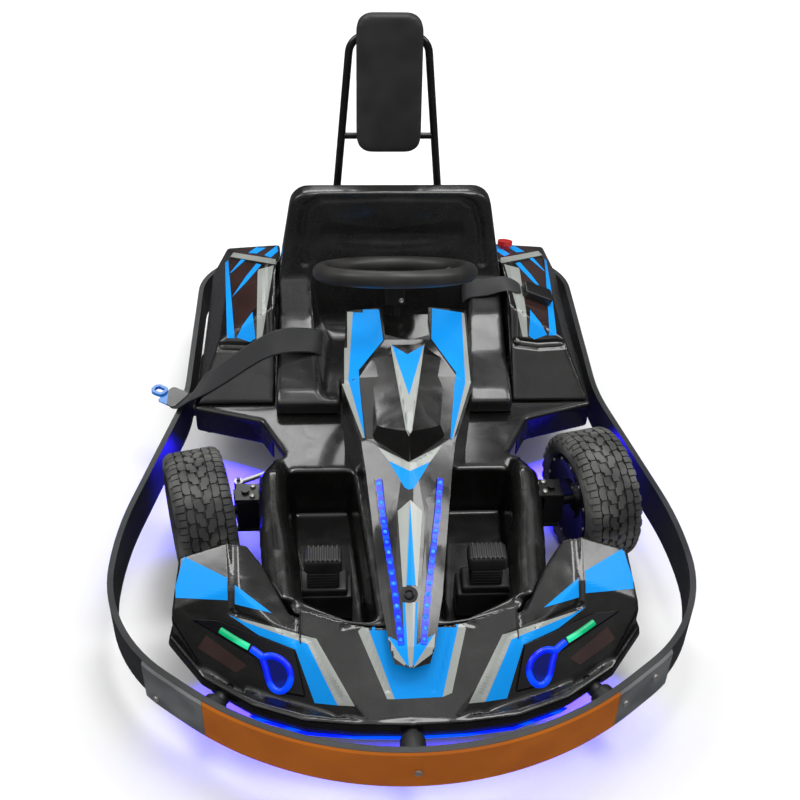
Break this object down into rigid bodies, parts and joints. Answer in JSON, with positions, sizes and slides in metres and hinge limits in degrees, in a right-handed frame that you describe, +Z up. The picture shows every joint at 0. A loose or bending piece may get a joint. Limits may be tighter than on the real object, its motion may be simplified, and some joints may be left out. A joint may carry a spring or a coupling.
{
  "type": "kids electric go-kart",
  "caption": "Low electric kart with a closed bumper ring, moulded tub and bucket seat, steered block-tread front wheels, driven rear axle, wedge console, lamps and a headrest on a tube.",
  "frame": {"origin": "on the ground under the middle of the bounding box", "axes": "+X to the driver's left, +Y to the rear along the length, +Z up"},
  "size_m": [1.1438, 1.5186, 0.8815],
  "materials": {
    "body_plastic": "moulded, gloss with a fine sparkle",
    "seat_plastic": "moulded, satin gloss",
    "frame_paint": "black powder coat",
    "band_rubber": "dark grey, satin",
    "strip_brown": "orange brown, satin",
    "plate_grey": "grey, satin",
    "mount_rubber": "black",
    "tyre_rubber": "dark grey",
    "wheel_black": "gloss black",
    "bright_steel": "machined",
    "grip_foam": "padded grip",
    "black_metal": "satin black",
    "pad_cover": "charcoal vinyl",
    "lamp_lens": "smoked lens",
    "light_blue_glow": "lit diffuser",
    "pedal_rubber": "black moulded",
    "button_red": "red",
    "motor_cast": "cast housing",
    "belt_webbing": "black woven webbing",
    "tongue_blue": "blue handle with a steel tongue",
    "buckle_black": "black moulded",
    "battery_case": "black case"
  },
  "bodies": {
    "chassis": {"bumper_ring": "band_rubber", "bumper_front_strip": "strip_brown", "bumper_end_plates": "plate_grey", "bumper_mounts": "mount_rubber", "chassis_frame": "frame_paint", "underglow_strip": "light_blue_glow", "kingpin_bracket_left": "black_metal", "kingpin_bracket_right": "black_metal", "axle_bearings": "black_metal", "drive_motor": "motor_cast", "battery_pack": "battery_case", "tub": "body_plastic", "front_cowl": "body_plastic", "console_cover": "body_plastic", "side_pod_left": "body_plastic", "side_pod_right": "body_plastic", "seat_shell": "seat_plastic", "rear_cover": "body_plastic", "headrest_frame": "frame_paint", "headrest_pad": "pad_cover", "headlight_left": "lamp_lens", "headlight_right": "lamp_lens", "console_lights": "light_blue_glow", "throttle_pedal": "pedal_rubber", "brake_pedal": "pedal_rubber", "stop_button": "button_red", "belt_straps": "belt_webbing", "belt_tongue": "tongue_blue", "belt_buckle": "buckle_black"},
    "steering": {"steering_grip": "grip_foam", "steering_spokes": "black_metal", "steering_column": "black_metal"},
    "knuckle_left": {"knuckle_left": "black_metal"},
    "knuckle_right": {"knuckle_right": "black_metal"},
    "wheel_front_left": {"front_tyre_left": "tyre_rubber", "front_wheel_left": "wheel_black"},
    "wheel_front_right": {"front_tyre_right": "tyre_rubber", "front_wheel_right": "wheel_black"},
    "tie_rod_left": {"tie_rod_left": "bright_steel"},
    "tie_rod_right": {"tie_rod_right": "bright_steel"},
    "rear_axle": {"rear_axle": "bright_steel", "rear_tyre_left": "tyre_rubber", "rear_tyre_right": "tyre_rubber", "rear_wheel_left": "wheel_black", "rear_wheel_right": "wheel_black"}
  },
  "joints": [
    {"name": "steering_turn", "type": "hinge", "parent": "chassis", "child": "steering", "pos_m": [0, 0.222, 0.495], "axis": [0, 0.4695, 0.8829], "range_deg": [-76, 20]},
    {"name": "knuckle_left_turn", "type": "hinge", "parent": "chassis", "child": "knuckle_left", "pos_m": [0.318, -0.125, 0.14], "axis": [0, 0, 1], "range_deg": [-38, 10]},
    {"name": "knuckle_right_turn", "type": "hinge", "parent": "chassis", "child": "knuckle_right", "pos_m": [-0.318, -0.125, 0.14], "axis": [0, 0, 1], "range_deg": [-38, 10]},
    {"name": "tie_rod_left_turn", "type": "hinge", "parent": "knuckle_left", "child": "tie_rod_left", "pos_m": [0.29623, -0.03767, 0.128], "axis": [0, 0, 1], "range_deg": [-11, 42]},
    {"name": "tie_rod_right_turn", "type": "hinge", "parent": "knuckle_right", "child": "tie_rod_right", "pos_m": [-0.33977, -0.03767, 0.128], "axis": [0, 0, 1], "range_deg": [-11, 42]},
    {"name": "wheel_front_left_roll", "type": "hinge", "parent": "knuckle_left", "child": "wheel_front_left", "pos_m": [0.41018, -0.10202, 0.14], "axis": [0.9703, 0.2419, 0], "continuous": true},
    {"name": "wheel_front_right_roll", "type": "hinge", "parent": "knuckle_right", "child": "wheel_front_right", "pos_m": [-0.41018, -0.14798, 0.14], "axis": [0.9703, 0.2419, 0], "continuous": true},
    {"name": "rear_axle_roll", "type": "hinge", "parent": "chassis", "child": "rear_axle", "pos_m": [0, 0.48, 0.14], "axis": [1, 0, 0], "continuous": true}
  ],
  "couplings": [
    {"joint": "knuckle_left_turn", "follows": "steering_turn", "ratio": 0.5},
    {"joint": "knuckle_right_turn", "follows": "steering_turn", "ratio": 0.5},
    {"joint": "tie_rod_left_turn", "follows": "steering_turn", "ratio": -0.55},
    {"joint": "tie_rod_right_turn", "follows": "steering_turn", "ratio": -0.54}
  ]
}
